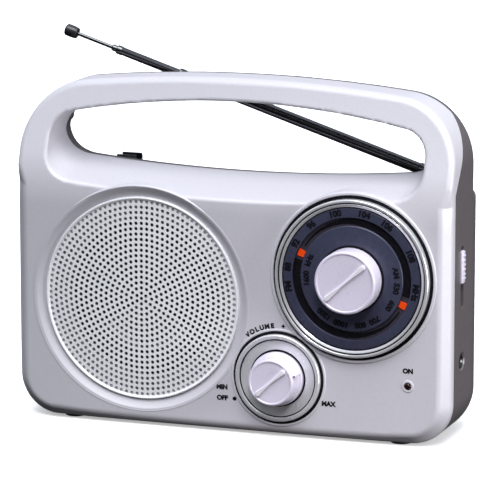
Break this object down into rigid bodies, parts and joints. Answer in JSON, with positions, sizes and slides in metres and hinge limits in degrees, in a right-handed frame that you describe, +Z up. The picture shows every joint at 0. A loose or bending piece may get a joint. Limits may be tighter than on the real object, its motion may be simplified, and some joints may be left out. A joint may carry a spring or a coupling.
{
  "type": "portable radio",
  "caption": "Portable AM/FM radio with a built-in carry handle, round speaker grille, round tuning dial, volume knob and a folding telescopic aerial",
  "frame": {"origin": "under the middle of the part's box, on the surface that the feet stand on", "axes": "+X to the right seen from the front, +Y from front to back, +Z up"},
  "size_m": [0.2515, 0.086, 0.2135],
  "materials": {
    "silver_casing": "satin silver",
    "grey_casing": "satin",
    "black_plastic": "gloss",
    "clear_plastic": "gloss",
    "grille_metal": "satin",
    "chrome_trim": "polished",
    "dial_face": "gloss",
    "dial_print": "matt",
    "marker_orange": "satin",
    "knob_silver": "metallic",
    "led_window": "gloss",
    "steel": "satin",
    "brass": "satin",
    "cone_paper": "matt",
    "ferrite": "matt",
    "circuit_board": "satin",
    "copper": "satin",
    "rubber": "matt"
  },
  "bodies": {
    "cabinet": {"front_shell": "silver_casing", "rear_shell": "grey_casing", "speaker_grille": "grille_metal", "speaker_basket": "steel", "speaker_cone": "cone_paper", "speaker_magnet": "ferrite", "dial_bezel": "chrome_trim", "dial_plate": "dial_face", "tuning_capacitor": "clear_plastic", "volume_ring": "chrome_trim", "volume_potentiometer": "steel", "power_led": "led_window", "band_switch_body": "steel", "headphone_jack": "black_plastic", "main_board": "circuit_board", "ferrite_rod": "ferrite", "ferrite_coil": "copper", "ferrite_holder_left": "black_plastic", "ferrite_holder_right": "black_plastic", "mains_transformer": "steel", "mains_inlet": "black_plastic", "mains_pin_left": "brass", "mains_pin_right": "brass", "battery_plate_lower": "steel", "battery_plate_upper": "steel", "battery_spring_lower": "steel", "battery_spring_upper": "steel", "foot_front_left": "rubber", "foot_front_right": "rubber", "foot_rear_left": "rubber", "foot_rear_right": "rubber", "screw_lower_left": "steel", "screw_lower_right": "steel", "screw_upper_left": "steel", "screw_upper_right": "steel", "screw_handle_left": "steel", "screw_handle_right": "steel", "aerial_clip": "black_plastic"},
    "tuning": {"tuning_knob": "knob_silver", "tuning_shaft": "brass", "pointer_disc": "black_plastic"},
    "volume": {"volume_knob": "knob_silver", "volume_shaft": "steel"},
    "band_switch": {"band_switch_lever": "knob_silver"},
    "battery_lid": {"battery_door": "grey_casing"},
    "aerial_base": {"aerial_swivel": "chrome_trim", "aerial_retaining_ring": "steel", "aerial_pivot_pin": "steel"},
    "aerial_arm": {"aerial_knuckle": "chrome_trim", "aerial_tube_1": "chrome_trim"},
    "aerial_second": {"aerial_tube_2": "chrome_trim"},
    "aerial_third": {"aerial_tube_3": "chrome_trim"},
    "aerial_end": {"aerial_rod": "chrome_trim", "aerial_tip": "black_plastic"}
  },
  "joints": [
    {"name": "tuning_turn", "type": "hinge", "parent": "cabinet", "child": "tuning", "pos_m": [0.0712, -0.03, 0.0914], "axis": [0, -1, 0], "range_deg": [-151, 27]},
    {"name": "volume_turn", "type": "hinge", "parent": "cabinet", "child": "volume", "pos_m": [0.029, -0.03, 0.0334], "axis": [0, -1, 0], "range_deg": [-40, 187]},
    {"name": "band_switch_slide", "type": "slide", "parent": "cabinet", "child": "band_switch", "axis": [0, 0, 1], "range_m": [-0.0125, 0]},
    {"name": "battery_door_hinge", "type": "hinge", "parent": "cabinet", "child": "battery_lid", "pos_m": [0.044, 0.043, 0.0093], "axis": [-1, 0, 0], "range_deg": [0, 90]},
    {"name": "aerial_swivel_turn", "type": "hinge", "parent": "cabinet", "child": "aerial_base", "pos_m": [0.103, 0.026, 0.1398], "axis": [0, 0, -1], "range_deg": [0, 180]},
    {"name": "aerial_tilt", "type": "hinge", "parent": "aerial_base", "child": "aerial_arm", "pos_m": [0.103, 0.026, 0.1398], "axis": [0, 1, 0], "range_deg": [-18, 72]},
    {"name": "aerial_slide_2", "type": "slide", "parent": "aerial_arm", "child": "aerial_second", "axis": [-0.9511, 0, 0.309], "range_m": [-0.033, 0.093]},
    {"name": "aerial_slide_3", "type": "slide", "parent": "aerial_second", "child": "aerial_third", "axis": [-0.9511, 0, 0.309], "range_m": [0, 0.125]},
    {"name": "aerial_slide_4", "type": "slide", "parent": "aerial_third", "child": "aerial_end", "axis": [-0.9511, 0, 0.309], "range_m": [-0.017, 0.103]}
  ]
}
